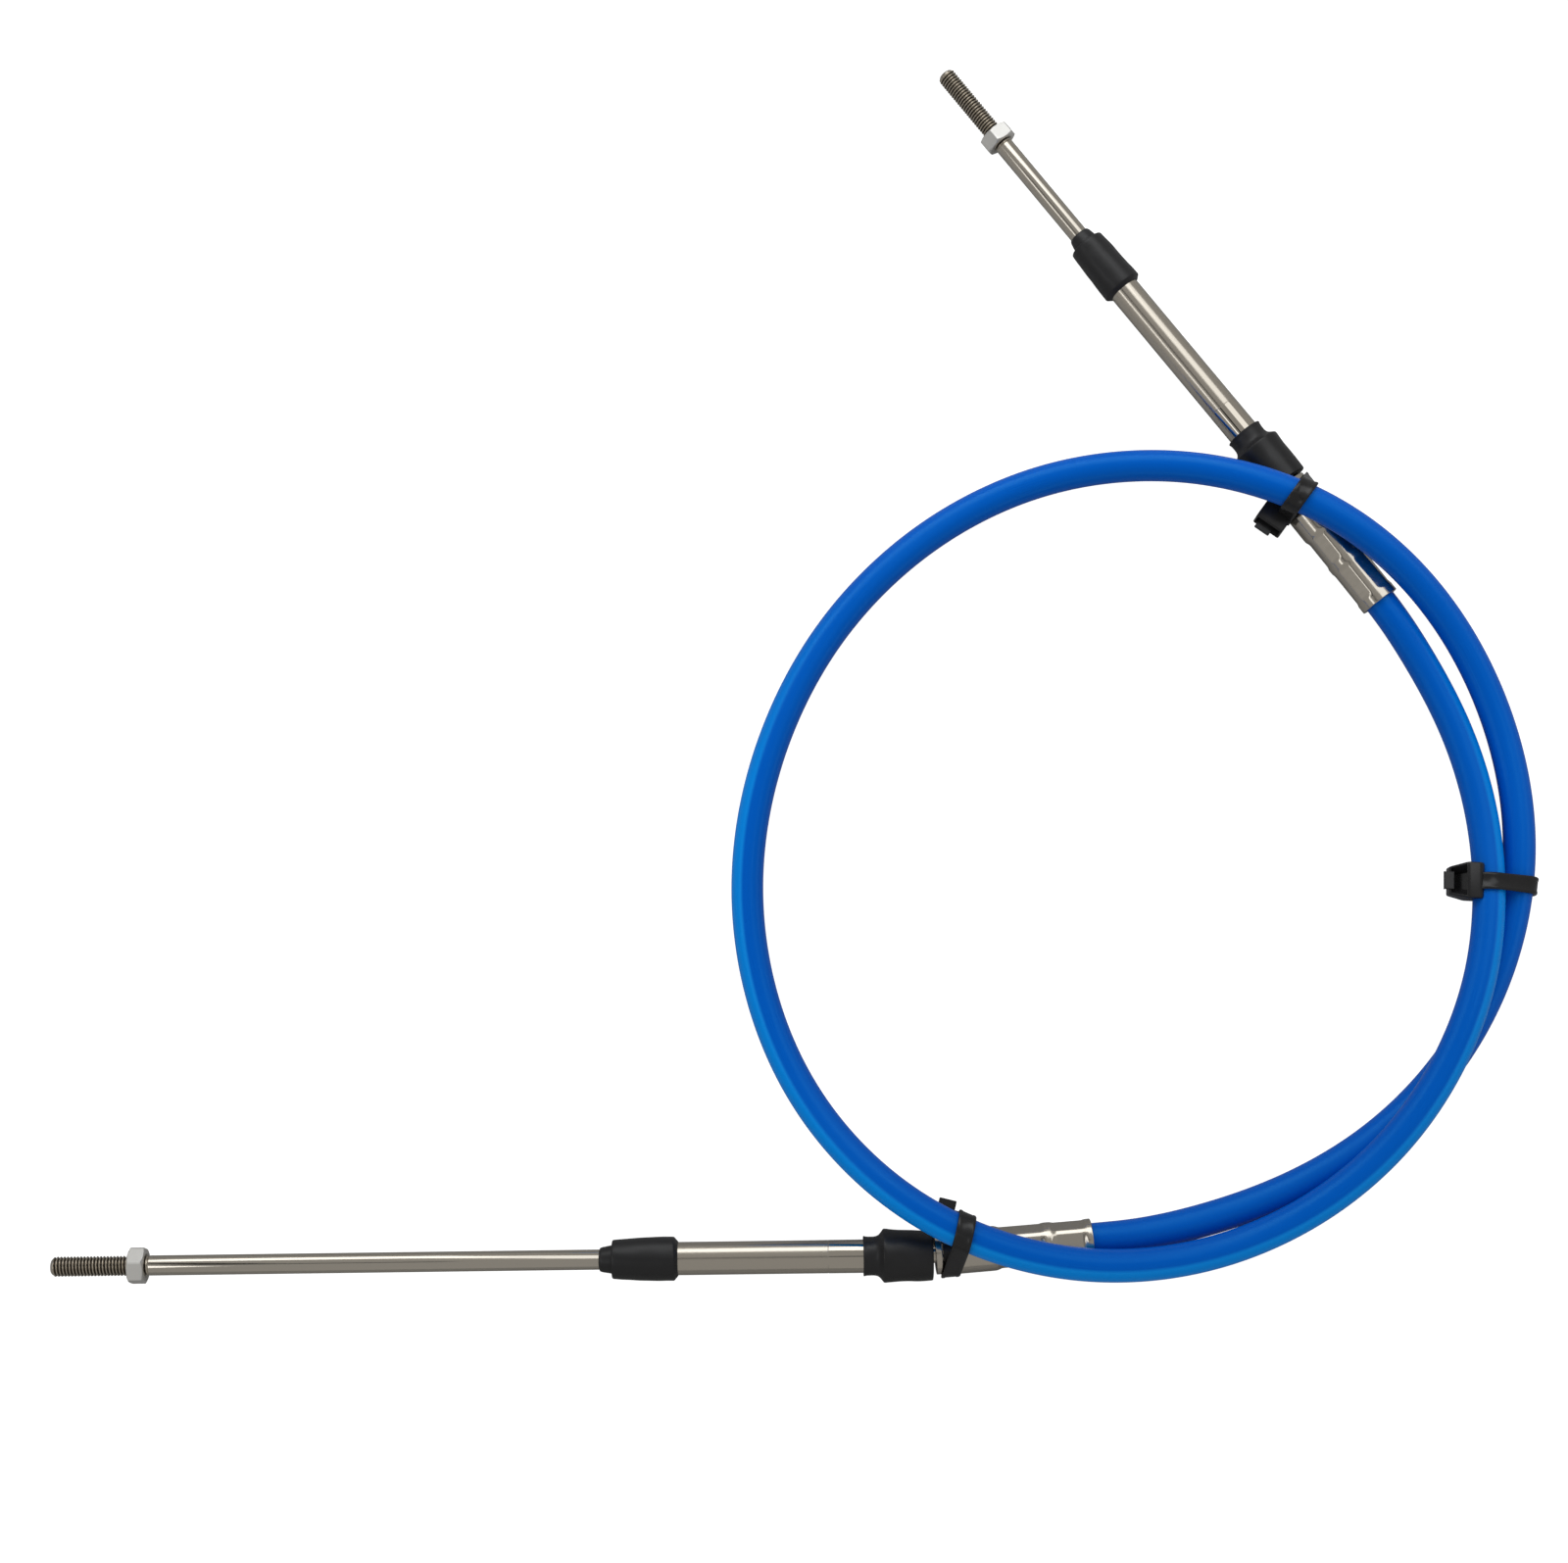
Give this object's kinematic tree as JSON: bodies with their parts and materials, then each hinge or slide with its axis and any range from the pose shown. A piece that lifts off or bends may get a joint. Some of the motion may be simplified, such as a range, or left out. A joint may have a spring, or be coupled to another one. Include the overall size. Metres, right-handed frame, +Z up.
{
  "type": "push-pull control cable",
  "caption": "Blue sheathed push-pull control cable coiled in a loop and tied, with a threaded sliding rod, jam nut, sleeve and rubber seals at each end",
  "frame": {"origin": "on the floor, below the middle of the cable's bounding box", "axes": "+Z up; +X along the long straight rod's line toward the loop; +Y toward the other fitting"},
  "size_m": [0.4541, 0.3914, 0.0277],
  "materials": {
    "jacket_blue": "satin extruded jacket",
    "hub_steel": "crimped and tumbled stainless",
    "sleeve_steel": "drawn stainless tube with a polished end band",
    "rod_steel": "polished stainless rod with a rolled thread",
    "nut_steel": "bright machined nut",
    "seal_rubber": "matte moulded rubber",
    "tie_nylon": "semi-gloss moulded nylon"
  },
  "bodies": {
    "cable": {"jacket": "jacket_blue", "hub_a": "hub_steel", "hub_b": "hub_steel", "tie_a": "tie_nylon", "tie_b": "tie_nylon", "tie_c": "tie_nylon"},
    "swivel_a": {"boot_a": "seal_rubber"},
    "sleeve_end_a": {"sleeve_a": "sleeve_steel", "rod_seal_a": "seal_rubber"},
    "rod_end_a": {"rod_a": "rod_steel", "nut_a": "nut_steel"},
    "swivel_b": {"boot_b": "seal_rubber"},
    "sleeve_end_b": {"sleeve_b": "sleeve_steel", "rod_seal_b": "seal_rubber"},
    "rod_end_b": {"rod_b": "rod_steel", "nut_b": "nut_steel"}
  },
  "joints": [
    {"name": "swing_a", "type": "hinge", "parent": "cable", "child": "swivel_a", "pos_m": [0.0315, -0.18725, 0.00834], "axis": [0, 0, 1], "range_deg": [-3.8, 12.2]},
    {"name": "tilt_a", "type": "hinge", "parent": "swivel_a", "child": "sleeve_end_a", "pos_m": [0.0315, -0.18725, 0.00834], "axis": [0.0129, -0.9999, 0], "range_deg": [-8.6, 7.4], "deforming": ["boot_a"]},
    {"name": "slide_a", "type": "slide", "parent": "sleeve_end_a", "child": "rod_end_a", "axis": [-0.9999, -0.0129, -0.0112], "range_m": [-0.07, 0]},
    {"name": "swing_b", "type": "hinge", "parent": "cable", "child": "swivel_b", "pos_m": [0.14856, 0.05907, 0.00842], "axis": [0, 0, 1], "range_deg": [-8.6, 7.4]},
    {"name": "tilt_b", "type": "hinge", "parent": "swivel_b", "child": "sleeve_end_b", "pos_m": [0.14856, 0.05907, 0.00842], "axis": [-0.7979, -0.6028, 0], "range_deg": [-9.2, 6.8], "deforming": ["boot_b"]},
    {"name": "slide_b", "type": "slide", "parent": "sleeve_end_b", "child": "rod_end_b", "axis": [-0.6027, 0.7977, -0.0211], "range_m": [0, 0.07]}
  ],
  "couplings": [
    {"joint": "slide_b", "follows": "slide_a", "ratio": -1}
  ]
}
